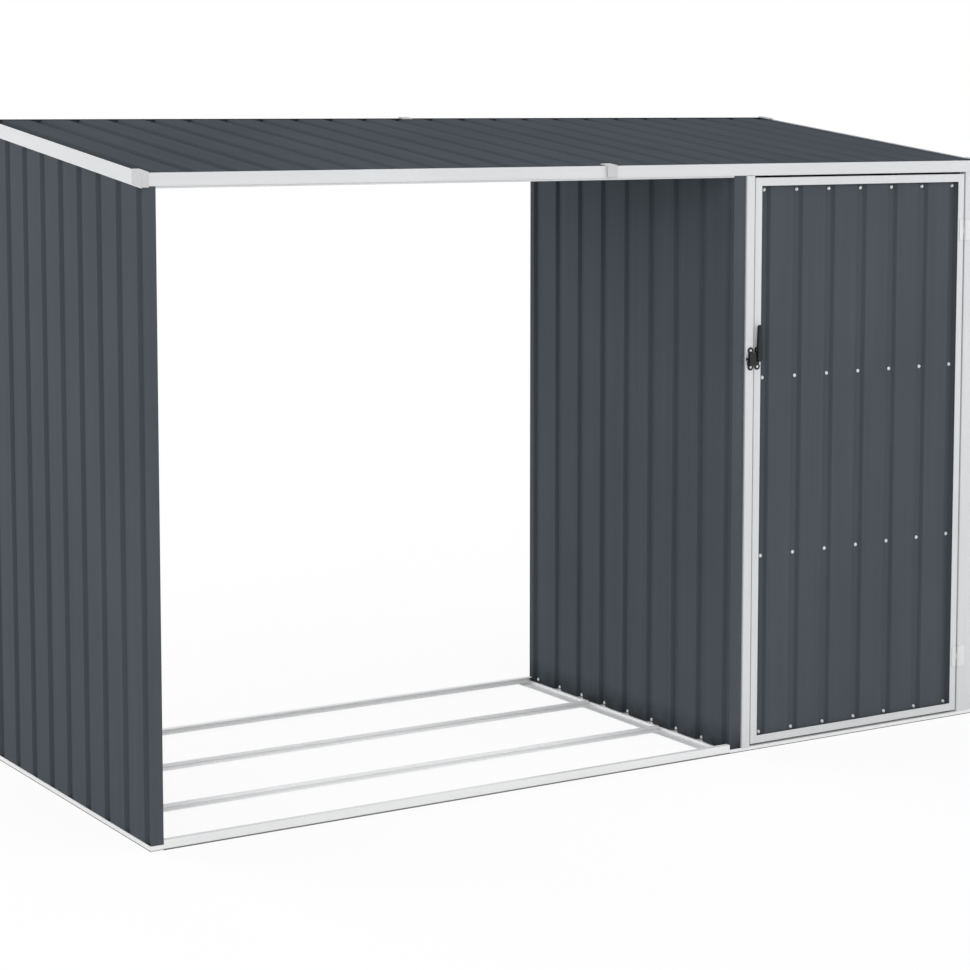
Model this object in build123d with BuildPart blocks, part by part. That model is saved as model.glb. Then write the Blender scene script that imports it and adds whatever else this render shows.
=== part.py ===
"""Lean-to log store of ribbed sheet steel: an open log bay on the left, a closed tool shed on the right.

Millimetres, +Z up, ground at Z = 0. X runs along the front, Y from the front to the back.
The origin is the bottom centre of the whole store, latch and corner caps included.
"""
import os
from math import atan, cos, floor, sin

from build123d import *

os.makedirs("parts", exist_ok=True)

# Overall sizes, over the lips of the base and the trims of the roof
width = 2450
depth = 950
back_height = 1626
roof_fall = 113

# Ribbed sheet: wide crests with narrow valleys pressed in between them
sheet_thickness = 1
rib_depth = 8
valley_floor = 20
flank_run = 6
wall_pitch = 111.6
wall_first_valley = 18.5
roof_pitch = 104
back_pitch = 106
door_pitch = 106
door_first_valley = 36
edge_crest = 6
sheet_foot = 8

# Side walls: flat returns folded at the front and the back, each with a hem
side_return = 31
divider_return = 34.5
return_gap = 2.5
return_hem = 12
bay_width = 1618

# Sole rails under the walls: each lip overhangs a foot that is set back
rail_steel = 2
lip_height = 14
foot_height = 4.5
foot_inset = 3
upstand_height = 45
sole_flange = 40
divider_lip_height = 8
divider_lip_gap = 4
threshold_lip = 11
threshold_foot = 3
threshold_depth = 50
sill_depth = 27

# Rails and bearers on the ground in the log bay
front_rail_height = 24
back_rail_height = 18
rail_flange = 14
bearer_height = 10
bearer_flange = 30
bearer_shares = (0.323, 0.674)

# Inside radius of the bends in folded strip
bend_inside = 0.7

# Door posts, door head and the beams under the roof
post_steel = 1.5
post_depth = 25
post_proud = 4.5
latch_post_width = 25.5
hinge_post_width = 52
beam_depth = 25
beam_show = 5
head_cover = 1
back_beam_height = 40
top_rail_height = 30

# Roof trims, their corner caps and the clips over their joints
trim_steel = 2
front_trim_height = 29
verge_trim_height = 34
trim_flange = 5
cap_wall = 3
cap_height = 31
cap_front = 15
cap_side = 48
cap_round = 2
clip_width = 28
clip_height = 26
clip_reach = 25
clip_proud = 7
clip_round = 1.2
front_joint_x = 14
back_joint_x = -21

# Door leaf
door_gap = 5
latch_gap = 5
leaf_steel = 1.5
door_depth = 17
leaf_face = 20.7
leaf_back = 38
mid_rail_height = 40
mid_rail_fold = 10
mid_rail_shares = (0.334, 0.65)

# Hinges
hinge_height = 54
hinge_inset = 150
hinge_leaf = 2
door_leaf_width = 18
post_leaf_width = 26
knuckle_radius = 4
pin_radius = 2
pin_clearance = 0.06
knuckle_gap = 0.5
pin_standoff = 5
knuckle_share = 1 / 3

# Latch: lobed plates on the post and the stile, a keeper open at the top and a lever with a bolt
latch_share = 0.686
latch_plate = 2
lobe_radius = 8.5
lobe_spacing = 42
plate_waist = 13
boss_radius = 8.5
lever_thickness = 8
lever_length = 86
lever_tip_radius = 5
hub_radius = 8
lever_round = 1.5
bolt_width = 6
bolt_length = 40.5
bolt_thickness = 4
keeper_inset = 11
keeper_width = 20
keeper_height = 34
keeper_clearance = 1.5
keeper_bridge = 2.5

# Planes and angles that follow from the sizes
wall_thickness = rib_depth + sheet_thickness
front_height = back_height - roof_fall
slope = roof_fall / depth
roof_angle = atan(slope)
bolt_back = post_proud + latch_plate + keeper_clearance
latch_reach = bolt_back + lever_thickness
left_x = -width / 2
right_x = width / 2
front_y = -(depth + max(cap_wall, clip_proud) - (latch_reach - rail_steel)) / 2
back_y = front_y + depth
face_y = front_y + rail_steel
rear_y = back_y - rail_steel
left_crest = left_x + rail_steel
right_crest = right_x - rail_steel
divider_x = left_x + bay_width
latch_post_x = divider_x + divider_return + return_gap
hinge_post_x = right_crest - hinge_post_width
latch_post_edge = latch_post_x + latch_post_width
door_left = latch_post_edge + latch_gap
door_right = hinge_post_x - door_gap
head_z = front_height - front_trim_height - head_cover
door_top = head_z - door_gap
door_bottom = threshold_lip + door_gap
leaf_height = door_top - door_bottom
latch_height = door_bottom + latch_share * leaf_height
hinge_heights = (door_bottom + hinge_inset, door_top - hinge_inset)
crest_drop = trim_steel / cos(roof_angle)
under_drop = crest_drop + wall_thickness / cos(roof_angle)


def roof_z(y, drop=0):
    """Height of the roof's top plane at y, lowered by drop."""
    return front_height + slope * (y - front_y) - drop


def sloped(y_start, y_end, low_drop, high_drop=0):
    """Corners of a strip in the YZ plane that follows the roof between two drops."""
    return [
        (y_start, roof_z(y_start, low_drop)),
        (y_end, roof_z(y_end, low_drop)),
        (y_end, roof_z(y_end, high_drop)),
        (y_start, roof_z(y_start, high_drop)),
    ]


def rib_line(length, pitch, first):
    """Points (along, inward) of a ribbed sheet's outer face, from one edge to the other."""
    half_floor = valley_floor / 2
    half_valley = half_floor + flank_run
    count = floor((length - first - half_valley) / pitch) + 1
    points = [(0, 0)]
    for index in range(count):
        centre = first + index * pitch
        points.append((centre - half_valley, 0))
        points.append((centre - half_floor, rib_depth))
        points.append((centre + half_floor, rib_depth))
        points.append((centre + half_valley, 0))
    points.append((length, 0))
    return points


def centred_first(length, pitch):
    """Place of the first valley when the valleys are centred on a sheet."""
    half_valley = valley_floor / 2 + flank_run
    spare = length - 2 * (half_valley + edge_crest)
    return (length - floor(spare / pitch) * pitch) / 2


def folded(points, side, thickness, plane, length):
    """A bar of folded strip: its outer line, thickened to one side and drawn out along the normal."""
    with BuildPart() as bar:
        with BuildSketch(plane):
            with BuildLine():
                FilletPolyline(*points, radius=thickness + bend_inside)
                offset(amount=thickness, side=side, kind=Kind.INTERSECTION)
            make_face()
        extrude(amount=length)
    return bar


def strip(points, side, thickness, level):
    """Plan of an upright strip: its outer line at one level, thickened to one side."""
    with BuildSketch(Plane.XY.offset(level)) as plan:
        with BuildLine():
            Polyline(*points)
            offset(amount=thickness, side=side, kind=Kind.INTERSECTION)
        make_face()
    return plan.sketch


def write(piece, name):
    """Name a finished piece and write it."""
    piece.part.label = name
    export_step(piece.part, f"parts/{name}.step")


roof_underside = Plane(
    origin=(0, front_y, roof_z(front_y, under_drop)),
    x_dir=(1, 0, 0),
    z_dir=(0, -sin(roof_angle), cos(roof_angle)),
)

# Sole rail under the left wall: a foot on the ground, a lip outside and an upstand inside the sheet
return_edge = left_crest + side_return
upstand_x = left_crest + wall_thickness
foot_depth = foot_inset + rail_steel
ground_front = front_y + foot_depth
ground_back = back_y - foot_depth
left_edge = [
    (return_edge, front_y),
    (left_x, front_y),
    (left_x, back_y),
    (return_edge, back_y),
]
with BuildPart() as left_sole_rail:
    with BuildSketch():
        with Locations((left_x + foot_inset, ground_front)):
            Rectangle(
                upstand_x + sole_flange - left_x - foot_inset,
                ground_back - ground_front,
                align=(Align.MIN, Align.MIN),
            )
    extrude(amount=rail_steel)
    with BuildSketch():
        with Locations((left_x + foot_inset, ground_front)):
            Rectangle(rail_steel, ground_back - ground_front, align=(Align.MIN, Align.MIN))
    extrude(amount=foot_height)
    extrude(to_extrude=strip(left_edge, Side.RIGHT, foot_depth, foot_height), amount=rail_steel)
    extrude(
        to_extrude=strip(left_edge, Side.RIGHT, rail_steel, foot_height),
        amount=lip_height - foot_height,
    )
    with BuildSketch():
        with Locations((upstand_x, ground_front)):
            Rectangle(rail_steel, ground_back - ground_front, align=(Align.MIN, Align.MIN))
    extrude(amount=upstand_height)
write(left_sole_rail, "left_sole_rail")

# Sole rail under the divider: a flange and a free lip on the bay's side, an upstand on the shed's side
shed_front = front_y + threshold_depth
shed_back = back_y - threshold_depth
divider_lip_x = divider_x - divider_lip_gap - rail_steel
with BuildPart() as divider_sole_rail:
    with BuildSketch():
        with Locations((divider_x - sole_flange, ground_front)):
            Rectangle(sole_flange, ground_back - ground_front, align=(Align.MIN, Align.MIN))
        with Locations((divider_x, shed_front)):
            Rectangle(
                wall_thickness + rail_steel,
                shed_back - shed_front,
                align=(Align.MIN, Align.MIN),
            )
    extrude(amount=rail_steel)
    with BuildSketch():
        with Locations((divider_lip_x, ground_front)):
            Rectangle(rail_steel, ground_back - ground_front, align=(Align.MIN, Align.MIN))
    extrude(amount=divider_lip_height)
    with BuildSketch():
        with Locations((divider_x + wall_thickness, shed_front)):
            Rectangle(rail_steel, shed_back - shed_front, align=(Align.MIN, Align.MIN))
    extrude(amount=upstand_height)
write(divider_sole_rail, "divider_sole_rail")

# Sole rail under the right wall: one strip folded to a lip, a foot and an upstand
right_inner = right_crest - wall_thickness - rail_steel
with BuildPart() as right_sole_rail:
    with BuildSketch(Plane.XZ.offset(-shed_back)):
        with BuildLine():
            Polyline(
                (right_x, threshold_lip),
                (right_x, threshold_foot),
                (right_x - foot_inset, threshold_foot),
                (right_x - foot_inset, 0),
                (right_inner, 0),
                (right_inner, upstand_height),
            )
            offset(amount=rail_steel, side=Side.RIGHT, kind=Kind.INTERSECTION)
        make_face()
    extrude(amount=shed_back - shed_front)
write(right_sole_rail, "right_sole_rail")


def shed_sole(edge_y, inward, sills, name):
    """Ground plate across the shed's front or back, with a foot, a lip and a sill in each doorway."""
    inner_y = edge_y + inward * threshold_depth
    foot_y = edge_y + inward * foot_inset
    foot_x = right_x - foot_inset
    side = Side.LEFT if inward > 0 else Side.RIGHT
    edge = [(divider_x, edge_y), (right_x, edge_y), (right_x, inner_y)]
    foot = [(divider_x, foot_y), (foot_x, foot_y), (foot_x, inner_y)]
    with BuildPart() as sole:
        with BuildSketch():
            with Locations(((divider_x + foot_x) / 2, (foot_y + inner_y) / 2)):
                Rectangle(foot_x - divider_x, abs(inner_y - foot_y))
        extrude(amount=rail_steel)
        extrude(to_extrude=strip(foot, side, rail_steel, 0), amount=threshold_foot)
        extrude(to_extrude=strip(edge, side, foot_depth, threshold_foot), amount=rail_steel)
        extrude(
            to_extrude=strip(edge, side, rail_steel, threshold_foot),
            amount=threshold_lip - threshold_foot,
        )
        for start_x, end_x in sills:
            with BuildSketch(Plane.XY.offset(threshold_lip - rail_steel)):
                with Locations(((start_x + end_x) / 2, edge_y + inward * sill_depth / 2)):
                    Rectangle(end_x - start_x, sill_depth)
            extrude(amount=rail_steel)
    write(sole, name)


shed_sole(front_y, 1, [(latch_post_edge, hinge_post_x)], "threshold")
shed_sole(back_y, -1, [], "shed_back_rail")


def bay_rail(edge_y, inward, height, name):
    """Front or back rail of the log bay: an upright strip over a set-back foot, flanged along the top."""
    foot_y = edge_y + inward * foot_inset
    with BuildPart() as rail:
        with BuildSketch(Plane.YZ.offset(return_edge)):
            with BuildLine():
                Polyline(
                    (foot_y, 0),
                    (foot_y, foot_height),
                    (edge_y, foot_height),
                    (edge_y, height),
                    (edge_y + inward * rail_flange, height),
                )
                inner_side = Side.RIGHT if inward > 0 else Side.LEFT
                offset(amount=rail_steel, side=inner_side, kind=Kind.INTERSECTION)
            make_face()
        extrude(amount=divider_x - return_edge)
    write(rail, name)


bay_rail(front_y, 1, front_rail_height, "bay_front_rail")
bay_rail(back_y, -1, back_rail_height, "bay_back_rail")

# Two log bearers: angles that lie on the flanges of the sole rails
bearer_start = upstand_x + rail_steel
with BuildPart() as bay_bearers:
    for share in bearer_shares:
        bearer_y = front_y + share * depth
        with BuildSketch(Plane.YZ.offset(bearer_start)):
            with BuildLine():
                Polyline(
                    (bearer_y - bearer_flange, rail_steel),
                    (bearer_y, rail_steel),
                    (bearer_y, rail_steel + bearer_height),
                )
                offset(amount=rail_steel, side=Side.LEFT, kind=Kind.INTERSECTION)
            make_face()
        extrude(amount=divider_lip_x - bearer_start)
write(bay_bearers, "bay_bearers")


def side_wall(crest_x, inward, return_width, front, name):
    """Ribbed side wall with its two flat returns, cut off under the roof sheets."""
    length = rear_y - front
    ribs = rib_line(length, wall_pitch, wall_first_valley)
    inner_x = crest_x + inward * return_width
    line = [(inner_x, front + return_hem), (inner_x, front)]
    line += [(crest_x + inward * inset, front + along) for along, inset in ribs]
    line += [(inner_x, rear_y), (inner_x, rear_y - return_hem)]
    with BuildPart() as wall:
        with BuildSketch(Plane.XY.offset(sheet_foot)):
            with BuildLine():
                Polyline(*line)
                inner_side = Side.RIGHT if inward > 0 else Side.LEFT
                offset(amount=sheet_thickness, side=inner_side, kind=Kind.INTERSECTION)
            make_face()
        extrude(amount=back_height)
        split(bisect_by=roof_underside, keep=Keep.BOTTOM)
    write(wall, name)


side_wall(left_crest, 1, side_return, face_y, "left_wall")
side_wall(divider_x, 1, divider_return, face_y, "divider_wall")
side_wall(right_crest, -1, side_return, face_y + post_steel, "right_wall")

# Back wall of the shed: a ribbed sheet between the returns of the divider and the right wall
back_wall_start = divider_x + divider_return
back_wall_length = right_crest - side_return - back_wall_start
back_ribs = rib_line(back_wall_length, back_pitch, centred_first(back_wall_length, back_pitch))
with BuildPart() as shed_back_wall:
    with BuildSketch(Plane.XY.offset(sheet_foot)):
        with BuildLine():
            Polyline(*[(back_wall_start + along, rear_y - inset) for along, inset in back_ribs])
            offset(amount=sheet_thickness, side=Side.RIGHT, kind=Kind.INTERSECTION)
        make_face()
    extrude(amount=back_height)
    split(bisect_by=roof_underside, keep=Keep.BOTTOM)
write(shed_back_wall, "shed_back_wall")


def post(line, name):
    """Door post of folded steel on the threshold; a face that stands proud ends at the lip and the head."""
    proud = face_y - line[1][1]
    with BuildPart() as upright:
        with BuildSketch(Plane.XY.offset(threshold_foot + rail_steel)):
            with BuildLine():
                FilletPolyline(*line, radius=post_steel + bend_inside)
                offset(amount=post_steel, side=Side.LEFT, kind=Kind.INTERSECTION)
            make_face()
        extrude(amount=back_height)
        split(bisect_by=roof_underside, keep=Keep.BOTTOM)
        if proud > 0:
            for low_z, high_z in ((0, threshold_lip), (head_z, back_height)):
                with BuildSketch(Plane.XY.offset(low_z)):
                    with Locations((line[0][0], face_y)):
                        Rectangle(width, proud, align=(Align.CENTER, Align.MAX))
                extrude(amount=high_z - low_z, mode=Mode.SUBTRACT)
    write(upright, name)


post_face = face_y - post_proud
post(
    [
        (latch_post_x, face_y + post_depth),
        (latch_post_x, post_face),
        (latch_post_edge, post_face),
        (latch_post_edge, face_y + post_depth),
    ],
    "latch_post",
)
post(
    [(hinge_post_x, face_y + post_depth), (hinge_post_x, face_y), (right_crest, face_y)],
    "hinge_post",
)


def beam(outer_y, inward, low_z, start_x, end_x, name):
    """Channel under the roof sheets along the front or back, open towards the inside."""
    inner_y = outer_y + inward * beam_depth
    line = [
        (inner_y, low_z),
        (outer_y, low_z),
        (outer_y, roof_z(outer_y, under_drop)),
        (inner_y, roof_z(inner_y, under_drop)),
    ]
    inner_side = Side.RIGHT if inward > 0 else Side.LEFT
    bar = folded(line, inner_side, rail_steel, Plane.YZ.offset(start_x), end_x - start_x)
    write(bar, name)


beam_front = face_y + sheet_thickness
beam_rear = rear_y - sheet_thickness
front_beam_z = front_height - front_trim_height - beam_show
back_beam_z = roof_z(beam_rear, under_drop) - back_beam_height
back_wall_inner = rear_y - wall_thickness
beam(beam_front, 1, front_beam_z, return_edge, divider_x, "bay_front_beam")
beam(beam_rear, -1, back_beam_z, return_edge, divider_x, "bay_back_beam")
beam(face_y, 1, head_z, latch_post_edge, hinge_post_x, "door_head")
beam(
    back_wall_inner,
    -1,
    back_beam_z,
    latch_post_x,
    right_crest - side_return,
    "shed_back_beam",
)


def top_rail(start_x, front, name):
    """Flat bar along the top of a side wall, inside its valleys."""
    with BuildPart() as bar:
        with BuildSketch(Plane.YZ.offset(start_x)):
            corners = sloped(
                front + sheet_thickness,
                rear_y - sheet_thickness,
                under_drop + top_rail_height,
                under_drop,
            )
            Polygon(*corners, align=None)
        extrude(amount=rail_steel)
    write(bar, name)


top_rail(upstand_x, face_y, "left_top_rail")
top_rail(divider_x + wall_thickness, face_y, "divider_top_rail")
top_rail(right_inner, face_y + post_steel, "right_top_rail")


def roof_sheet(start_x, outward, name):
    """Ribbed roof sheet from the middle of the roof to one end, drawn out up the slope."""
    length = right_crest
    ribs = rib_line(length, roof_pitch, roof_pitch / 2)
    eave_y = face_y + bend_inside
    run = rear_y - eave_y - wall_thickness * sin(roof_angle)
    eave = Plane(
        origin=(0, eave_y, roof_z(eave_y, crest_drop)),
        x_dir=(1, 0, 0),
        z_dir=(0, cos(roof_angle), sin(roof_angle)),
    )
    with BuildPart() as roof:
        with BuildSketch(eave):
            with BuildLine():
                Polyline(*[(start_x + outward * along, inset) for along, inset in ribs])
                under_side = Side.LEFT if outward > 0 else Side.RIGHT
                offset(amount=sheet_thickness, side=under_side, kind=Kind.INTERSECTION)
            make_face()
        extrude(amount=run / cos(roof_angle))
    write(roof, name)


roof_sheet(0, -1, "left_roof_sheet")
roof_sheet(0, 1, "right_roof_sheet")


def eave_trim(edge_y, inward, start_x, end_x, name):
    """One length of the trim along the front or back: an upright face with a flange over the roof sheet."""
    top_z = roof_z(edge_y)
    inner_y = edge_y + inward * trim_flange
    line = [(edge_y, top_z - front_trim_height), (edge_y, top_z), (inner_y, roof_z(inner_y))]
    inner_side = Side.RIGHT if inward > 0 else Side.LEFT
    trim = folded(line, inner_side, trim_steel, Plane.YZ.offset(start_x), end_x - start_x)
    write(trim, name)


eave_trim(front_y, 1, left_x, front_joint_x, "front_trim_left")
eave_trim(front_y, 1, front_joint_x, right_x, "front_trim_right")
eave_trim(back_y, -1, left_x, back_joint_x, "back_trim_left")
eave_trim(back_y, -1, back_joint_x, right_x, "back_trim_right")


def verge_trim(outer_x, inward, name):
    """Trim up one end of the roof, between the trims of the front and the back."""
    start_y = front_y + trim_flange + trim_steel * sin(roof_angle)
    end_y = back_y - trim_flange
    with BuildPart() as trim:
        with BuildSketch(Plane.YZ.offset(outer_x)):
            Polygon(*sloped(start_y, end_y, verge_trim_height), align=None)
        extrude(amount=inward * trim_steel)
        with BuildSketch(Plane.YZ.offset(outer_x)):
            Polygon(*sloped(start_y, end_y, crest_drop), align=None)
        extrude(amount=inward * trim_flange)
    write(trim, name)


verge_trim(left_x, 1, "left_verge_trim")
verge_trim(right_x, -1, "right_verge_trim")


def corner_cap(outer_x, in_x, outer_y, in_y, name):
    """Moulded cap that wraps a corner of the roof trims, standing proud of them."""
    shell_y = outer_y - in_y * cap_wall
    end_y = outer_y + in_y * cap_side
    with BuildPart() as cap:
        with BuildSketch(Plane.YZ.offset(outer_x - in_x * cap_wall)):
            Polygon(*sloped(shell_y, end_y, cap_height, -cap_wall), align=None)
        extrude(amount=in_x * (cap_wall + cap_front))
        corner = Vector(outer_x - in_x * cap_wall, shell_y, roof_z(shell_y, -cap_wall))
        fillet(cap.edges().sort_by_distance(corner)[0:3], radius=cap_round)
        with BuildSketch(Plane.YZ.offset(outer_x)):
            Polygon(*sloped(outer_y, end_y, cap_height), align=None)
        extrude(amount=in_x * cap_front, mode=Mode.SUBTRACT)
    write(cap, name)


corner_cap(left_x, 1, front_y, 1, "front_left_cap")
corner_cap(right_x, -1, front_y, 1, "front_right_cap")
corner_cap(left_x, 1, back_y, -1, "back_left_cap")
corner_cap(right_x, -1, back_y, -1, "back_right_cap")

# Clips that cover the joints of the front and back trims, each with a tab over the roof
with BuildPart() as trim_clips:
    for edge_y, in_y, joint_x in ((front_y, 1, front_joint_x), (back_y, -1, back_joint_x)):
        reach_y = edge_y + in_y * clip_reach
        shell_y = edge_y - in_y * clip_proud
        with BuildSketch(Plane.YZ.offset(joint_x - clip_width / 2)):
            Polygon(*sloped(shell_y, edge_y, clip_height, -cap_wall), align=None)
            Polygon(*sloped(edge_y, reach_y, 0, -cap_wall), align=None)
        extrude(amount=clip_width)
    shells = trim_clips.faces().filter_by(Axis.Y).sort_by(Axis.Y)
    fillet(shells[0].edges() + shells[-1].edges(), radius=clip_round)
write(trim_clips, "trim_clips")

# Door leaf: stiles and rails of folded strip, mitred at the corners, that clasp a ribbed sheet
leaf_back_y = face_y + door_depth
panel_back = leaf_back_y - leaf_steel
leaf_width = door_right - door_left


def leaf_bar(line, side, plane, length, mitres, name):
    """Stile or rail of the door: a folded strip cut off at mitres, each a corner and a direction."""
    with BuildPart() as bar:
        with BuildSketch(plane):
            with BuildLine():
                FilletPolyline(*line, radius=leaf_steel + bend_inside)
                offset(amount=leaf_steel, side=side, kind=Kind.INTERSECTION)
            make_face()
        extrude(amount=length)
        for corner_x, corner_z, keep_x, keep_z in mitres:
            mitre = Plane(origin=(corner_x, face_y, corner_z), z_dir=(keep_x, 0, keep_z))
            split(bisect_by=mitre, keep=Keep.TOP)
    write(bar, name)


for edge_x, inward, side, name in (
    (door_left, 1, Side.RIGHT, "door_latch_stile"),
    (door_right, -1, Side.LEFT, "door_hinge_stile"),
):
    leaf_bar(
        [
            (edge_x + inward * leaf_face, face_y),
            (edge_x, face_y),
            (edge_x, leaf_back_y),
            (edge_x + inward * leaf_back, leaf_back_y),
        ],
        side,
        Plane.XY.offset(door_bottom),
        leaf_height,
        [(edge_x, door_top, -inward, -1), (edge_x, door_bottom, -inward, 1)],
        name,
    )
for edge_z, inward, side, name in (
    (door_top, -1, Side.RIGHT, "door_top_rail"),
    (door_bottom, 1, Side.LEFT, "door_bottom_rail"),
):
    leaf_bar(
        [
            (face_y, edge_z + inward * leaf_face),
            (face_y, edge_z),
            (leaf_back_y, edge_z),
            (leaf_back_y, edge_z + inward * leaf_back),
        ],
        side,
        Plane.YZ.offset(door_left),
        leaf_width,
        [(door_left, edge_z, 1, -inward), (door_right, edge_z, -1, -inward)],
        name,
    )

# Ribbed sheet of the door, held between the webs of the stiles and rails
panel_left = door_left + leaf_steel
panel_length = door_right - leaf_steel - panel_left
panel_ribs = rib_line(panel_length, door_pitch, door_first_valley)
panel_face = panel_back - wall_thickness
panel_margin = leaf_steel + bend_inside
with BuildPart() as door_sheet:
    with BuildSketch(Plane.XY.offset(door_bottom + panel_margin)):
        with BuildLine():
            Polyline(*[(panel_left + along, panel_face + inset) for along, inset in panel_ribs])
            offset(amount=sheet_thickness, side=Side.LEFT, kind=Kind.INTERSECTION)
        make_face()
    extrude(amount=leaf_height - 2 * panel_margin)
write(door_sheet, "door_sheet")

# Two channels across the back of the door sheet, between the stiles
mid_rail_start = door_left + leaf_back
mid_rail_end = door_right - leaf_back
with BuildPart() as door_mid_rails:
    for share in mid_rail_shares:
        rail_z = door_bottom + share * leaf_height
        low_z = rail_z - mid_rail_height / 2
        high_z = rail_z + mid_rail_height / 2
        with BuildSketch(Plane.YZ.offset(mid_rail_start)):
            with BuildLine():
                Polyline(
                    (panel_back + mid_rail_fold, low_z),
                    (panel_back, low_z),
                    (panel_back, high_z),
                    (panel_back + mid_rail_fold, high_z),
                )
                offset(amount=leaf_steel, side=Side.RIGHT, kind=Kind.INTERSECTION)
            make_face()
        extrude(amount=mid_rail_end - mid_rail_start)
write(door_mid_rails, "door_mid_rails")

# Butt hinges: the pin and the outer knuckles belong to the post's leaf, the middle knuckle to the door's
hinge_x = (door_right + hinge_post_x) / 2
hinge_y = face_y - pin_standoff
knuckle_height = hinge_height * knuckle_share
leaf_clear = knuckle_radius + knuckle_gap
with BuildPart() as hinge_post_leaves:
    for centre_z in hinge_heights:
        base_z = centre_z - hinge_height / 2
        with BuildSketch(Plane.XY.offset(base_z)):
            with Locations((hinge_x + leaf_clear, face_y)):
                Rectangle(
                    post_leaf_width - leaf_clear, hinge_leaf, align=(Align.MIN, Align.MAX)
                )
        extrude(amount=hinge_height)
        for knuckle_z in (base_z, base_z + hinge_height - knuckle_height + knuckle_gap):
            with BuildSketch(Plane.XY.offset(knuckle_z)):
                with Locations((hinge_x, hinge_y)):
                    Circle(knuckle_radius)
                with Locations((hinge_x, face_y)):
                    Rectangle(leaf_clear, hinge_leaf, align=(Align.MIN, Align.MAX))
            extrude(amount=knuckle_height - knuckle_gap)
        with BuildSketch(Plane.XY.offset(base_z)):
            with Locations((hinge_x, hinge_y)):
                Circle(pin_radius)
        extrude(amount=hinge_height)
write(hinge_post_leaves, "hinge_post_leaves")

with BuildPart() as hinge_door_leaves:
    for centre_z in hinge_heights:
        base_z = centre_z - hinge_height / 2
        with BuildSketch(Plane.XY.offset(base_z)):
            with Locations((hinge_x - leaf_clear, face_y)):
                Rectangle(
                    door_leaf_width - leaf_clear, hinge_leaf, align=(Align.MAX, Align.MAX)
                )
        extrude(amount=hinge_height)
        with BuildSketch(Plane.XY.offset(centre_z - knuckle_height / 2)):
            with Locations((hinge_x, hinge_y)):
                Circle(knuckle_radius)
            with Locations((hinge_x, face_y)):
                Rectangle(leaf_clear, hinge_leaf, align=(Align.MAX, Align.MAX))
            with Locations((hinge_x, hinge_y)):
                Circle(pin_radius + pin_clearance, mode=Mode.SUBTRACT)
        extrude(amount=knuckle_height)
write(hinge_door_leaves, "hinge_door_leaves")


def lobed_plate(centre_x, base_y):
    """Outline of a latch plate against an upright face: two screw lobes joined by a waist."""
    with BuildSketch(Plane.XZ.offset(-base_y)) as outline:
        with Locations((centre_x, latch_height)):
            Rectangle(plate_waist, lobe_spacing)
        for lobe_side in (-1, 1):
            with Locations((centre_x, latch_height + lobe_side * lobe_spacing / 2)):
                Circle(lobe_radius)
    return outline.sketch


# Keeper on the post: a lobed plate with a hook, open at the top, that holds the bolt
keeper_x = latch_post_edge - keeper_inset
bridge_inner = face_y - bolt_back - bolt_thickness - keeper_clearance
bridge_outer = bridge_inner - keeper_bridge
keeper_low = latch_height - keeper_height / 2
keeper_high = latch_height + keeper_height / 2
slot_bottom = latch_height - bolt_width / 2 - keeper_clearance
with BuildPart() as latch_keeper:
    extrude(to_extrude=lobed_plate(keeper_x, post_face), amount=latch_plate)
    with BuildSketch(Plane.YZ.offset(keeper_x - keeper_width / 2)):
        Polygon(
            (post_face, keeper_low),
            (bridge_outer, keeper_low),
            (bridge_outer, keeper_high),
            (bridge_inner, keeper_high),
            (bridge_inner, slot_bottom),
            (post_face, slot_bottom),
            align=None,
        )
    extrude(amount=keeper_width)
write(latch_keeper, "latch_keeper")

# Latch plate on the door stile, with the boss that carries the lever
latch_x = door_left + lobe_radius
with BuildPart() as latch_plate_piece:
    extrude(to_extrude=lobed_plate(latch_x, face_y), amount=latch_plate)
    with BuildSketch(Plane.XZ.offset(-face_y + latch_plate)):
        with Locations((latch_x, latch_height)):
            Circle(boss_radius)
    extrude(amount=bolt_back - latch_plate)
write(latch_plate_piece, "latch_plate")

# Lever: an upright handle on a hub, with a flat bolt to the side that lies in the keeper
with BuildPart() as latch_lever:
    with BuildSketch(Plane.XZ.offset(-face_y + bolt_back)):
        with Locations((latch_x, latch_height)):
            Circle(hub_radius)
        with Locations((latch_x, latch_height + lever_length - lever_tip_radius)):
            Circle(lever_tip_radius)
        make_hull()
    extrude(amount=lever_thickness)
    fillet(latch_lever.faces().sort_by(Axis.Y)[0].edges(), radius=lever_round)
    with BuildSketch(Plane.XZ.offset(-face_y + bolt_back)):
        with Locations((latch_x, latch_height)):
            Rectangle(bolt_length, bolt_width, align=(Align.MAX, Align.CENTER))
    extrude(amount=bolt_thickness)
write(latch_lever, "latch_lever")
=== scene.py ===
"""Lean-to log store of ribbed sheet steel: finishes, fasteners, studio and camera. Metres, +Z up."""
from math import pi, radians

import bmesh
import bpy
from mathutils import Matrix, Vector


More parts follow.
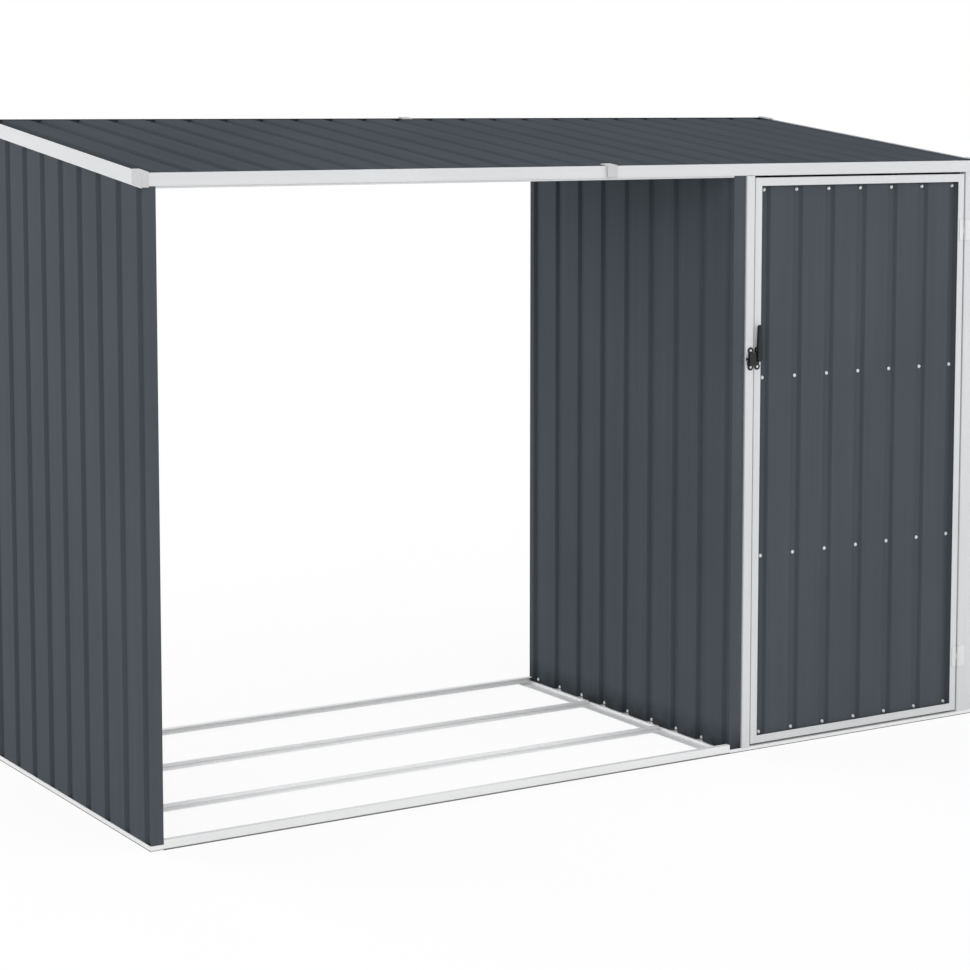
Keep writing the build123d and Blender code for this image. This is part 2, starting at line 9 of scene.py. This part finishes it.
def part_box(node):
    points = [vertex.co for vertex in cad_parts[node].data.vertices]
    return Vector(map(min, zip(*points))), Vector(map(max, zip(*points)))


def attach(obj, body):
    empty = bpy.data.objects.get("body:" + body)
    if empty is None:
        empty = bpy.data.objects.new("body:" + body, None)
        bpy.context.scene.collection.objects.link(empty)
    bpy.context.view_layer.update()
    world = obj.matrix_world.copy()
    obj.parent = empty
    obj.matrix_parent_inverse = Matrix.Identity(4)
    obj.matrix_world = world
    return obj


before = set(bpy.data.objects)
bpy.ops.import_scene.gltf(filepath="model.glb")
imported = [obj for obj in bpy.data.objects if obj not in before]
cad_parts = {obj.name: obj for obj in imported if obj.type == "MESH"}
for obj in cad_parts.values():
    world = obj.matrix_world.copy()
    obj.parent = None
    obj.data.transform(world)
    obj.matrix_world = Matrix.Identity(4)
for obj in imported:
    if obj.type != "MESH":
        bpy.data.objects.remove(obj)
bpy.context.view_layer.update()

# Outer rails on the ground: the sole rails of the left and the right wall, the threshold, the
# shed's back rail and the bay's front rail. They are folded from pale coated steel strip, and
# take most of the dust and splash. Their set-back feet under the lips carry painted shade, the
# shadow of the lips on them.
RAIL_NODES = ("left_sole_rail", "right_sole_rail", "threshold", "shed_back_rail", "bay_front_rail")
RAIL_COLOUR = (0.80, 0.805, 0.81, 1)
RAIL_SHADE = (0.76, 0.765, 0.77, 1)
RAIL_DUST = (0.56, 0.54, 0.51, 1)
# Dark colour for the rails' feet: painted shade, the shadow under the lips.
RAIL_FOOT_SHADE = (0.16, 0.16, 0.157, 1)


def feed(tree, term, socket):
    """Give an input of a node a link from another socket, or a plain value."""
    if isinstance(term, bpy.types.NodeSocket):
        tree.links.new(term, socket)
    else:
        socket.default_value = term


def object_place(tree):
    """Coordinates in the object's own space, in metres."""
    return tree.nodes.new("ShaderNodeTexCoord").outputs["Object"]


def axes(tree, place):
    """The X, Y and Z of a set of coordinates."""
    node = tree.nodes.new("ShaderNodeSeparateXYZ")
    feed(tree, place, node.inputs["Vector"])
    return node.outputs


def calculate(tree, operation, *terms):
    """Result of a sum on sockets and plain numbers."""
    node = tree.nodes.new("ShaderNodeMath")
    node.operation = operation
    for term, socket in zip(terms, node.inputs):
        feed(tree, term, socket)
    return node.outputs["Value"]


def remap(tree, value, span, target):
    """A value carried from one span to another, and held inside it."""
    node = tree.nodes.new("ShaderNodeMapRange")
    feed(tree, value, node.inputs["Value"])
    for side, edge, goal in zip(("Min", "Max"), span, target):
        feed(tree, edge, node.inputs[f"From {side}"])
        feed(tree, goal, node.inputs[f"To {side}"])
    return node.outputs["Result"]


def noise(tree, place, scale, detail):
    """Noise over a set of coordinates."""
    node = tree.nodes.new("ShaderNodeTexNoise")
    feed(tree, place, node.inputs["Vector"])
    feed(tree, scale, node.inputs["Scale"])
    feed(tree, detail, node.inputs["Detail"])
    return node.outputs["Fac"]


def mix_colour(tree, share, under, over):
    """One colour laid over another by a share."""
    node = tree.nodes.new("ShaderNodeMix")
    node.data_type = "RGBA"
    feed(tree, share, node.inputs["Factor"])
    feed(tree, under, node.inputs["A"])
    feed(tree, over, node.inputs["B"])
    return node.outputs["Result"]


def bump(tree, height, strength, distance):
    """A bump node for a surface that is raised by a height."""
    node = tree.nodes.new("ShaderNodeBump")
    feed(tree, height, node.inputs["Height"])
    feed(tree, strength, node.inputs["Strength"])
    feed(tree, distance, node.inputs["Distance"])
    return node


def new_group(name, inputs, outputs):
    """An empty shader node group with named sockets, and its two end nodes."""
    group = bpy.data.node_groups.new(name, "ShaderNodeTree")
    for label, kind in inputs:
        group.interface.new_socket(label, in_out="INPUT", socket_type=kind)
    for label in outputs:
        group.interface.new_socket(label, in_out="OUTPUT", socket_type="NodeSocketFloat")
    return group, group.nodes.new("NodeGroupInput"), group.nodes.new("NodeGroupOutput")


def use_group(tree, group, **values):
    """Outputs of a shared group in a material, with its inputs set."""
    node = tree.nodes.new("ShaderNodeGroup")
    node.node_tree = group
    for label, value in values.items():
        node.inputs[label].default_value = value
    return node.outputs


CLOUD_SCALE = 2.6
CLOUD_DETAIL = 4
STREAK_DETAIL = 3
PEEL_SCALE = 420
PEEL_DETAIL = 2


def coat_group():
    """Unevenness of a factory coat: broad clouds, streaks along the rolling line, fine orange peel."""
    group, given, result = new_group(
        "coat_unevenness", [("Stretch", "NodeSocketVector")], ["Cloud", "Streak", "Peel"]
    )
    place = object_place(group)
    stretch = group.nodes.new("ShaderNodeMapping")
    feed(group, place, stretch.inputs["Vector"])
    feed(group, given.outputs["Stretch"], stretch.inputs["Scale"])
    stretched = stretch.outputs["Vector"]
    feed(group, noise(group, place, CLOUD_SCALE, CLOUD_DETAIL), result.inputs["Cloud"])
    feed(group, noise(group, stretched, 1, STREAK_DETAIL), result.inputs["Streak"])
    feed(group, noise(group, place, PEEL_SCALE, PEEL_DETAIL), result.inputs["Peel"])
    return group


FLECK_SCALE = 22
FLECK_DETAIL = 6


def dust_and_shade_group():
    """A mask that rises from the ground up to a height, broken up by noise: dust and splash on most
    finishes, painted shade at the divider's foot.
    """
    group, given, result = new_group(
        "ground_dust_and_shade", [("Height", "NodeSocketFloat"), ("Amount", "NodeSocketFloat")], ["Mask"]
    )
    place = object_place(group)
    fade = remap(group, axes(group, place)["Z"], (0, given.outputs["Height"]), (1, 0))
    broken = calculate(group, "MULTIPLY", fade, noise(group, place, FLECK_SCALE, FLECK_DETAIL))
    mask = calculate(group, "MULTIPLY", broken, given.outputs["Amount"])
    feed(group, mask, result.inputs["Mask"])
    return group


FOOT_HEIGHT = 0.0045
FOOT_INSET = 0.003
FOOT_FACE = 0.0006


def foot_shade_group():
    """Painted shade on the feet of the outer rails: the narrow set-back strips under the lips, on the
    ground, where the lips' shadow falls.
    """
    group, _, result = new_group("painted_foot_shade", [], ["Mask"])
    place = axes(group, object_place(group))
    front_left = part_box("left_sole_rail")[0]
    back_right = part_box("shed_back_rail")[1]
    feet = (
        ("X", front_left.x + FOOT_INSET),
        ("X", back_right.x - FOOT_INSET),
        ("Y", front_left.y + FOOT_INSET),
        ("Y", back_right.y - FOOT_INSET),
    )
    found = 0
    for axis, middle in feet:
        near = calculate(group, "COMPARE", place[axis], middle, FOOT_FACE)
        found = calculate(group, "MAXIMUM", near, found)
    low = calculate(group, "LESS_THAN", place["Z"], FOOT_HEIGHT)
    feed(group, calculate(group, "MULTIPLY", found, low), result.inputs["Mask"])
    return group


COAT = coat_group()
DUST_AND_SHADE = dust_and_shade_group()
FOOT = foot_shade_group()
TONE_SPAN = (0.12, 0.42)
POLISH_SPAN = (0.3, 0.7)
WAVE_STRENGTH = 1
PEEL_STRENGTH = 0.25
PEEL_HEIGHT = 0.0002


def coated(
    name, colour, shade, dust_and_shade, stretch, rough, dust_and_shade_height, dust_and_shade_amount, gloss, waviness, foot_shade=None
):
    """Coated metal: two close tones by cloud and streak, a ground colour (dust on most finishes,
    painted shade on the divider), painted shade on the feet if given, uneven gloss, orange peel.
    """
    material = bpy.data.materials.new(name)
    material.use_nodes = True
    tree = material.node_tree
    shader = tree.nodes["Principled BSDF"]
    feed(tree, gloss, shader.inputs["Specular IOR Level"])
    coat = use_group(tree, COAT, Stretch=stretch)
    tone = calculate(tree, "MULTIPLY", coat["Cloud"], coat["Streak"])
    surface = mix_colour(tree, remap(tree, tone, TONE_SPAN, (0, 1)), shade, colour)
    ground = use_group(tree, DUST_AND_SHADE, Height=dust_and_shade_height, Amount=dust_and_shade_amount)
    # Colour rising from the ground: dust on most finishes, painted shade on the divider.
    surface = mix_colour(tree, ground["Mask"], surface, dust_and_shade)
    if foot_shade:
        # The feet take painted shade: the shadow under the rails' lips.
        surface = mix_colour(tree, use_group(tree, FOOT)["Mask"], surface, foot_shade)
    feed(tree, surface, shader.inputs["Base Color"])
    feed(tree, remap(tree, coat["Streak"], POLISH_SPAN, rough), shader.inputs["Roughness"])
    wave = bump(tree, coat["Cloud"], WAVE_STRENGTH, waviness)
    skin = bump(tree, coat["Peel"], PEEL_STRENGTH, PEEL_HEIGHT)
    feed(tree, wave.outputs["Normal"], skin.inputs["Normal"])
    feed(tree, skin.outputs["Normal"], shader.inputs["Normal"])
    return material


def dress(node_names, material):
    """Give CAD nodes a finish through their material slots."""
    for name in node_names:
        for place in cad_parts[name].material_slots:
            place.material = material


RAIL_SURFACE = {
    "stretch": (3, 3, 60),
    "rough": (0.3, 0.44),
    "dust_and_shade_height": 0.03,
    "gloss": 0.5,
    "waviness": 0.001,
    "foot_shade": RAIL_FOOT_SHADE,
}
rail_finish = coated(
    "pale_coated_rail", RAIL_COLOUR, RAIL_SHADE, RAIL_DUST, dust_and_shade_amount=0.2, **RAIL_SURFACE
)
dress(RAIL_NODES, rail_finish)

# Log bearers, back rail of the bay and the divider's sole rail: the same strip, under the roof
# of the bay, where it stays cleaner. Its colour is painted paler than the outer rails' to make up
# for the shade under the roof: painted light.
BAY_NODES = ("divider_sole_rail", "bay_back_rail", "bay_bearers")
# Paler copy of the rail colour: painted light for the shaded bay.
BAY_LIGHTENED_COLOUR = (0.87, 0.875, 0.88, 1)
BAY_LIGHTENED_SHADE = (0.84, 0.845, 0.85, 1)
bay_lightened_finish = coated(
    "pale_coated_bay_rail", BAY_LIGHTENED_COLOUR, BAY_LIGHTENED_SHADE, RAIL_DUST, dust_and_shade_amount=0.05, **RAIL_SURFACE
)
dress(BAY_NODES, bay_lightened_finish)

# Ribbed wall sheets: thin galvanised steel with an anthracite coil coat, rolled to shape
# lengthwise. The wide boards wave a little, as thin sheet does, and a little dust settles at
# the foot.
WALL_NODES = ("left_wall", "right_wall", "shed_back_wall")
SHEET_COLOUR = (0.073, 0.085, 0.098, 1)
SHEET_SHADE = (0.064, 0.075, 0.087, 1)
SHEET_DUST = (0.08, 0.085, 0.09, 1)
SHEET_SURFACE = {
    "stretch": (45, 45, 1.2),
    "rough": (0.5, 0.62),
    "gloss": 0.005,
    "waviness": 0.004,
}
wall_finish = coated(
    "anthracite_wall_sheet",
    SHEET_COLOUR,
    SHEET_SHADE,
    SHEET_DUST,
    dust_and_shade_height=0.16,
    dust_and_shade_amount=0.25,
    **SHEET_SURFACE,
)
dress(WALL_NODES, wall_finish)

# Divider between the bay and the shed: the same sheet, with painted shade darkening its foot, the
# contact shadow along the ground in the bay.
# Dark colour at the divider's foot: painted shade, the contact shadow along the ground.
DIVIDER_FOOT_SHADE = (0.014, 0.015, 0.016, 1)
divider_finish = coated(
    "anthracite_divider_sheet",
    SHEET_COLOUR,
    SHEET_SHADE,
    DIVIDER_FOOT_SHADE,
    dust_and_shade_height=0.075,
    dust_and_shade_amount=1.3,
    **SHEET_SURFACE,
)
dress(("divider_wall",), divider_finish)

# Screws along the foot of the divider, on the bay's side, and of the left wall, on the inside:
# zinc-plated pan heads on washers, one in line with each valley of the sheet, at the height of
# the rail's upstand.
HEAD_RADIUS = 0.0040
HEAD_HEIGHT = 0.0030
CROWN_RADIUS = 0.00288
CROWN_HEIGHT = 0.00291
SHOULDER_RADIUS = 0.0038
SHOULDER_HEIGHT = 0.00216
RECESS_RADIUS = 0.0024
RECESS_DEPTH = 0.0014
RECESS_ARMS = 4
ARM_DEPTH = 0.00112
WASHER_RADIUS = 0.0050
WASHER_FLAT = 0.0048
WASHER_HEIGHT = 0.0008
WASHER_EDGE = 0.0004
SCREW_SIDES = 16
WELD_DISTANCE = 0.000028
RING_TOLERANCE = 0.00012
SCREW_COLOUR = (0.84, 0.84, 0.84, 1)
SCREW_TARNISH = (0.68, 0.68, 0.68, 1)
SCREW_METALLIC = 0.55
SCREW_ROUGH = (0.28, 0.45)
TARNISH_SCALE = 260
TARNISH_DETAIL = 2


def zinc_finish():
    """Bright zinc plating with faint tarnish."""
    material = bpy.data.materials.new("zinc_plated_screw")
    material.use_nodes = True
    tree = material.node_tree
    shader = tree.nodes["Principled BSDF"]
    feed(tree, SCREW_METALLIC, shader.inputs["Metallic"])
    speck = noise(tree, object_place(tree), TARNISH_SCALE, TARNISH_DETAIL)
    feed(tree, mix_colour(tree, speck, SCREW_TARNISH, SCREW_COLOUR), shader.inputs["Base Color"])
    feed(tree, remap(tree, speck, (0, 1), SCREW_ROUGH), shader.inputs["Roughness"])
    return material


screw_finish = zinc_finish()


def add_screw(mesh, seat, outward, size):
    """One pan head with a cross recess on a round washer, seated at a point and facing outward."""
    profile = (
        (0, HEAD_HEIGHT - RECESS_DEPTH),
        (RECESS_RADIUS, HEAD_HEIGHT),
        (CROWN_RADIUS, CROWN_HEIGHT),
        (SHOULDER_RADIUS, SHOULDER_HEIGHT),
        (HEAD_RADIUS, WASHER_HEIGHT),
        (WASHER_FLAT, WASHER_HEIGHT),
        (WASHER_RADIUS, WASHER_EDGE),
        (WASHER_RADIUS, 0),
    )
    line = [mesh.verts.new((radius * size, 0, height * size)) for radius, height in profile]
    edges = [mesh.edges.new(pair) for pair in zip(line, line[1:])]
    bmesh.ops.spin(
        mesh,
        geom=line + edges,
        cent=(0, 0, 0),
        axis=(0, 0, 1),
        angle=2 * pi,
        steps=SCREW_SIDES,
        use_merge=True,
    )
    made = {vert for face in mesh.faces if not face.tag for vert in face.verts}
    bmesh.ops.remove_doubles(mesh, verts=list(made), dist=WELD_DISTANCE * size)
    fresh = [face for face in mesh.faces if not face.tag]
    made = list({vert for face in fresh for vert in face.verts})
    ring = sorted(
        (v for v in made if abs(v.co.xy.length - RECESS_RADIUS * size) < RING_TOLERANCE * size),
        key=lambda v: v.co.xy.angle_signed(Vector((1, 0))),
    )
    arm = SCREW_SIDES // RECESS_ARMS
    for index, vert in enumerate(ring):
        if index % arm < arm // 2:
            vert.co.z -= ARM_DEPTH * size
    turn = Vector((0, 0, 1)).rotation_difference(Vector(outward)).to_matrix().to_4x4()
    bmesh.ops.transform(mesh, matrix=Matrix.Translation(seat) @ turn, verts=made)
    bmesh.ops.recalc_face_normals(mesh, faces=fresh)
    for face in fresh:
        face.tag = True
        face.smooth = True


def screw_piece(name, seats, outward, body, size=1.0):
    """Screws that face one way, as one joined piece that rides on a body."""
    mesh = bmesh.new()
    for seat in seats:
        add_screw(mesh, seat, outward, size)
    data = bpy.data.meshes.new(name)
    mesh.to_mesh(data)
    mesh.free()
    data.materials.append(screw_finish)
    piece = bpy.data.objects.new(name, data)
    bpy.context.scene.collection.objects.link(piece)
    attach(piece, body)


RIB_DEPTH = 0.008
HALF_VALLEY = 0.016
SHEET_THICKNESS = 0.001
RAIL_STEEL = 0.002
WALL_PITCH = 0.1116
WALL_FIRST_VALLEY = 0.0185
FOOT_SCREW_HEIGHT = 0.0145


def valleys(low, high, first, pitch):
    """Middles of the valleys along a sheet, from its low edge."""
    count = int((high - low - first - HALF_VALLEY) / pitch) + 1
    return [low + first + index * pitch for index in range(count)]


def foot_screws(name, wall, face, outward):
    """A row of screws on an upright face at the foot of a side wall."""
    low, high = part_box(wall)
    places = valleys(low.y, high.y, WALL_FIRST_VALLEY, WALL_PITCH)
    seats = [(low.x + face, y, FOOT_SCREW_HEIGHT) for y in places]
    screw_piece(name, seats, outward, "store")


upstand_face = RIB_DEPTH + SHEET_THICKNESS + RAIL_STEEL
foot_screws("divider_foot_screws", "divider_wall", RIB_DEPTH, (-1, 0, 0))
foot_screws("left_wall_foot_screws", "left_wall", upstand_face, (1, 0, 0))

# Door posts, door head, beams and flat bars under the roof: folded steel strip with a pale grey
# powder coat, screwed to the sheets and standing on the threshold.
FRAME_NODES = (
    "latch_post",
    "hinge_post",
    "door_head",
    "bay_front_beam",
    "bay_back_beam",
    "shed_back_beam",
    "left_top_rail",
    "divider_top_rail",
    "right_top_rail",
)
TRIM_COLOUR = (0.63, 0.64, 0.65, 1)
TRIM_SHADE = (0.59, 0.60, 0.61, 1)
TRIM_DUST = (0.46, 0.44, 0.41, 1)
TRIM_SURFACE = {"rough": (0.32, 0.46), "dust_and_shade_height": 0.08, "gloss": 0.45, "waviness": 0.0015}
frame_finish = coated(
    "pale_coated_frame",
    TRIM_COLOUR,
    TRIM_SHADE,
    TRIM_DUST,
    stretch=(70, 70, 2),
    dust_and_shade_amount=0.25,
    **TRIM_SURFACE,
)
dress(FRAME_NODES, frame_finish)

# Roof sheets: the same coil-coated steel, with the ribs running up the slope so that rain
# drains to the front. Streaks follow the water.
ROOF_NODES = ("left_roof_sheet", "right_roof_sheet")
roof_finish = coated(
    "anthracite_roof_sheet",
    SHEET_COLOUR,
    SHEET_SHADE,
    SHEET_DUST,
    stretch=(45, 1.2, 10),
    rough=(0.66, 0.8),
    dust_and_shade_height=0.1,
    dust_and_shade_amount=0.1,
    gloss=0,
    waviness=0.004,
)
dress(ROOF_NODES, roof_finish)

# Roof trims: pale coated strip folded over the edges of the roof sheets, in two lengths at the
# front and one up each end.
TRIM_NODES = ("front_trim_left", "front_trim_right", "left_verge_trim", "right_verge_trim")
trim_finish = coated(
    "pale_coated_trim",
    TRIM_COLOUR,
    TRIM_SHADE,
    TRIM_DUST,
    stretch=(2, 2, 70),
    dust_and_shade_amount=0.1,
    **TRIM_SURFACE,
)
dress(TRIM_NODES, trim_finish)

# Back trims: the same strip, in two lengths. Their faces that look to the front carry painted
# shade, dark as the shadow that shows over the valleys of the roof, seen from the front.
BACK_TRIM_NODES = ("back_trim_left", "back_trim_right")
# Near-black painted shade for the back trims' front-facing faces.
BACK_TRIM_PAINTED_SHADE = (0.022, 0.024, 0.026, 1)
SHADED_FACING = (0, -1, 0)
SHADED_FACING_LIMIT = 0.5


def with_inner_shade(finish, name):
    """A copy of a finish with painted shade on the faces that look to the front."""
    material = finish.copy()
    material.name = name
    tree = material.node_tree
    facing = tree.nodes.new("ShaderNodeVectorMath")
    facing.operation = "DOT_PRODUCT"
    feed(tree, tree.nodes.new("ShaderNodeTexCoord").outputs["Normal"], facing.inputs[0])
    feed(tree, SHADED_FACING, facing.inputs[1])
    shaded_side = calculate(tree, "GREATER_THAN", facing.outputs["Value"], SHADED_FACING_LIMIT)
    base = tree.nodes["Principled BSDF"].inputs["Base Color"]
    feed(tree, mix_colour(tree, shaded_side, base.links[0].from_socket, BACK_TRIM_PAINTED_SHADE), base)
    return material


dress(BACK_TRIM_NODES, with_inner_shade(trim_finish, "pale_coated_back_trim"))

# Corner caps and joint clips: grey moulded plastic with a fine matt grain, pushed over the ends
# and the joints of the trims.
CAP_NODES = ("front_left_cap", "front_right_cap", "back_left_cap", "back_right_cap", "trim_clips")
CAP_COLOUR = (0.54, 0.545, 0.545, 1)
CAP_SHADE = (0.49, 0.495, 0.495, 1)
cap_finish = coated(
    "grey_moulded_cap",
    CAP_COLOUR,
    CAP_SHADE,
    TRIM_DUST,
    stretch=(30, 30, 30),
    rough=(0.5, 0.62),
    dust_and_shade_height=0.08,
    dust_and_shade_amount=0.1,
    gloss=0.4,
    waviness=0.0005,
)
dress(CAP_NODES, cap_finish)

# Door leaf: a ribbed sheet clasped by folded pale stiles and rails, with two channels across
# its back. Rows of screws through the valleys hold the sheet to the rails.
DOOR_FRAME_NODES = (
    "door_latch_stile",
    "door_hinge_stile",
    "door_top_rail",
    "door_bottom_rail",
    "door_mid_rails",
)
DOOR_PITCH = 0.106
DOOR_FIRST_VALLEY = 0.036
DOOR_TOP_MARGIN = 0.0288
DOOR_FOOT_MARGIN = 0.0233
MID_RAIL_HEIGHT = 0.04
dress(DOOR_FRAME_NODES, frame_finish)
dress(("door_sheet",), wall_finish)
sheet_low, sheet_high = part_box("door_sheet")
mid_low, mid_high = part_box("door_mid_rails")
valley_face = sheet_low.y + RIB_DEPTH
screw_columns = valleys(sheet_low.x, sheet_high.x, DOOR_FIRST_VALLEY, DOOR_PITCH)
screw_rows = (
    sheet_low.z + DOOR_FOOT_MARGIN,
    mid_low.z + MID_RAIL_HEIGHT / 2,
    mid_high.z - MID_RAIL_HEIGHT / 2,
    sheet_high.z - DOOR_TOP_MARGIN,
)
door_seats = [(x, valley_face, z) for z in screw_rows for x in screw_columns]
screw_piece("door_sheet_screws", door_seats, (0, -1, 0), "door")

# Butt hinges: pressed steel leaves with rolled knuckles on a steel pin, coated to match the
# posts and fixed flat on the post and the stile.
HINGE_NODES = ("hinge_post_leaves", "hinge_door_leaves")
HINGE_COLOUR = (0.71, 0.715, 0.715, 1)
HINGE_SHADE = (0.66, 0.665, 0.665, 1)
hinge_finish = coated(
    "pale_coated_hinge",
    HINGE_COLOUR,
    HINGE_SHADE,
    TRIM_DUST,
    stretch=(60, 60, 60),
    rough=(0.3, 0.42),
    dust_and_shade_height=0.05,
    dust_and_shade_amount=0.1,
    gloss=0.5,
    waviness=0.0005,
)
dress(HINGE_NODES, hinge_finish)

# Latch: a keeper on the post, a lobed plate and a lever on the stile, pressed from steel and
# coated black, each plate held by two bright screws.
LATCH_NODES = ("latch_keeper", "latch_plate", "latch_lever")
LATCH_COLOUR = (0.014, 0.0145, 0.0145, 1)
LATCH_SHADE = (0.009, 0.0095, 0.0095, 1)
LATCH_DUST = (0.08, 0.08, 0.08, 1)
LOBE_SPACING = 0.042
PLATE_THICKNESS = 0.002
LATCH_SCREW_SIZE = 0.72
latch_finish = coated(
    "black_coated_latch",
    LATCH_COLOUR,
    LATCH_SHADE,
    LATCH_DUST,
    stretch=(90, 90, 90),
    rough=(0.34, 0.5),
    dust_and_shade_height=0.05,
    dust_and_shade_amount=0.1,
    gloss=0.35,
    waviness=0.0004,
)
dress(LATCH_NODES, latch_finish)
for plate, body in (("latch_keeper", "store"), ("latch_plate", "door")):
    plate_low, plate_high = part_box(plate)
    middle = (plate_low + plate_high) / 2
    plate_face = plate_high.y - PLATE_THICKNESS
    lobe_heights = (middle.z - LOBE_SPACING / 2, middle.z + LOBE_SPACING / 2)
    plate_seats = [(middle.x, plate_face, z) for z in lobe_heights]
    screw_piece(f"{plate}_screws", plate_seats, (0, -1, 0), body, LATCH_SCREW_SIZE)

# Studio floor: plain white, with only a faint shadow on it. It fades to pure white away from the
# store, so that no horizon shows.
FLOOR_SIZE = 60
FLOOR_COLOUR = (0.9, 0.9, 0.9, 1)
FLOOR_GLOW = (0.91, 1)
GLOW_SPAN = (2.2, 7)
floor_mesh = bmesh.new()
bmesh.ops.create_grid(floor_mesh, x_segments=1, y_segments=1, size=FLOOR_SIZE / 2)
floor_data = bpy.data.meshes.new("studio_floor")
floor_mesh.to_mesh(floor_data)
floor_mesh.free()
floor = bpy.data.objects.new("studio_floor", floor_data)
bpy.context.scene.collection.objects.link(floor)


def backdrop_rays(tree):
    """1 for rays that see the surround directly or in a gloss, 0 for rays that carry its light."""
    path = tree.nodes.new("ShaderNodeLightPath").outputs
    seen = calculate(tree, "MAXIMUM", path["Is Camera Ray"], path["Is Glossy Ray"])
    return calculate(tree, "MAXIMUM", seen, path["Is Transmission Ray"])


def mix_shader(tree, share, under, over):
    """One shader laid over another by a share."""
    node = tree.nodes.new("ShaderNodeMixShader")
    for term, socket in zip((share, under, over), node.inputs):
        feed(tree, term, socket)
    return node.outputs["Shader"]


def floor_finish():
    """Matt white that takes shadows, under a glow that grows with the distance from the store."""
    material = bpy.data.materials.new("studio_floor_white")
    material.use_nodes = True
    tree = material.node_tree
    tree.nodes.remove(tree.nodes["Principled BSDF"])
    matt = tree.nodes.new("ShaderNodeBsdfDiffuse")
    feed(tree, FLOOR_COLOUR, matt.inputs["Color"])
    glow = tree.nodes.new("ShaderNodeEmission")
    reach = tree.nodes.new("ShaderNodeVectorMath")
    reach.operation = "LENGTH"
    feed(tree, object_place(tree), reach.inputs[0])
    whiten = remap(tree, reach.outputs["Value"], GLOW_SPAN, FLOOR_GLOW)
    share = calculate(tree, "MULTIPLY", backdrop_rays(tree), whiten)
    blend = mix_shader(tree, share, matt.outputs["BSDF"], glow.outputs["Emission"])
    feed(tree, blend, tree.nodes["Material Output"].inputs["Surface"])
    return material


floor_data.materials.append(floor_finish())

# Surround and lamps: pure white where it is seen, dimmer in the light that it gives, with large
# soft boxes all round.
WHITE = (1, 1, 1, 1)
AMBIENT = 0.57
LAMP_AIM = Vector((0, 0, 0.8))


def white_surround():
    """A world that looks white and lights the store with a share of that."""
    world = bpy.data.worlds.new("white_surround")
    world.use_nodes = True
    tree = world.node_tree
    ambient = tree.nodes["Background"]
    feed(tree, WHITE, ambient.inputs["Color"])
    feed(tree, AMBIENT, ambient.inputs["Strength"])
    white = tree.nodes.new("ShaderNodeBackground")
    feed(tree, WHITE, white.inputs["Color"])
    looks, lights = white.outputs["Background"], ambient.outputs["Background"]
    blend = mix_shader(tree, backdrop_rays(tree), lights, looks)
    feed(tree, blend, tree.nodes["World Output"].inputs["Surface"])
    return world


def soft_box(name, place, size, power):
    """A large rectangular soft light aimed at the store."""
    lamp = bpy.data.lights.new(name, "AREA")
    lamp.shape = "RECTANGLE"
    lamp.size, lamp.size_y = size
    lamp.energy = power
    holder = bpy.data.objects.new(name, lamp)
    holder.location = place
    holder.rotation_euler = (LAMP_AIM - Vector(place)).to_track_quat("-Z", "Y").to_euler()
    holder.visible_glossy = False
    bpy.context.scene.collection.objects.link(holder)


bpy.context.scene.world = white_surround()
soft_box("left_back_box", (-6.6, 7.4, 2.2), size=(5, 4), power=300)
soft_box("right_front_box", (7.2, -6.6, 2.4), size=(5, 4), power=165)
soft_box("high_back_box", (-2.5, 8.5, 6.5), size=(8, 5), power=400)
soft_box("high_front_box", (1, -7.5, 7.5), size=(7, 5), power=190)
soft_box("overhead_box", (0, -1, 9), size=(7, 5), power=100)
soft_box("left_front_box", (-6, -7, 3), size=(5, 4), power=180)

# Camera: at the height of the roof, to the front and left, looking a little down through a long
# lens, with the frame shifted down.
LENS = 92.47
SENSOR_WIDTH = 36
FRAME_DROP = -0.145
VIEW_YAW = 31.840
VIEW_TILT = 5.427
STAND = (-3.4524, -5.4714, 1.6546)
camera_data = bpy.data.cameras.new("view")
camera_data.lens = LENS
camera_data.sensor_width = SENSOR_WIDTH
camera_data.shift_y = FRAME_DROP
camera = bpy.data.objects.new("view", camera_data)
camera.location = STAND
camera.rotation_euler = (radians(90 - VIEW_TILT), 0, -radians(VIEW_YAW))
bpy.context.scene.collection.objects.link(camera)
bpy.context.scene.camera = camera
bpy.context.scene.view_settings.view_transform = "Standard"
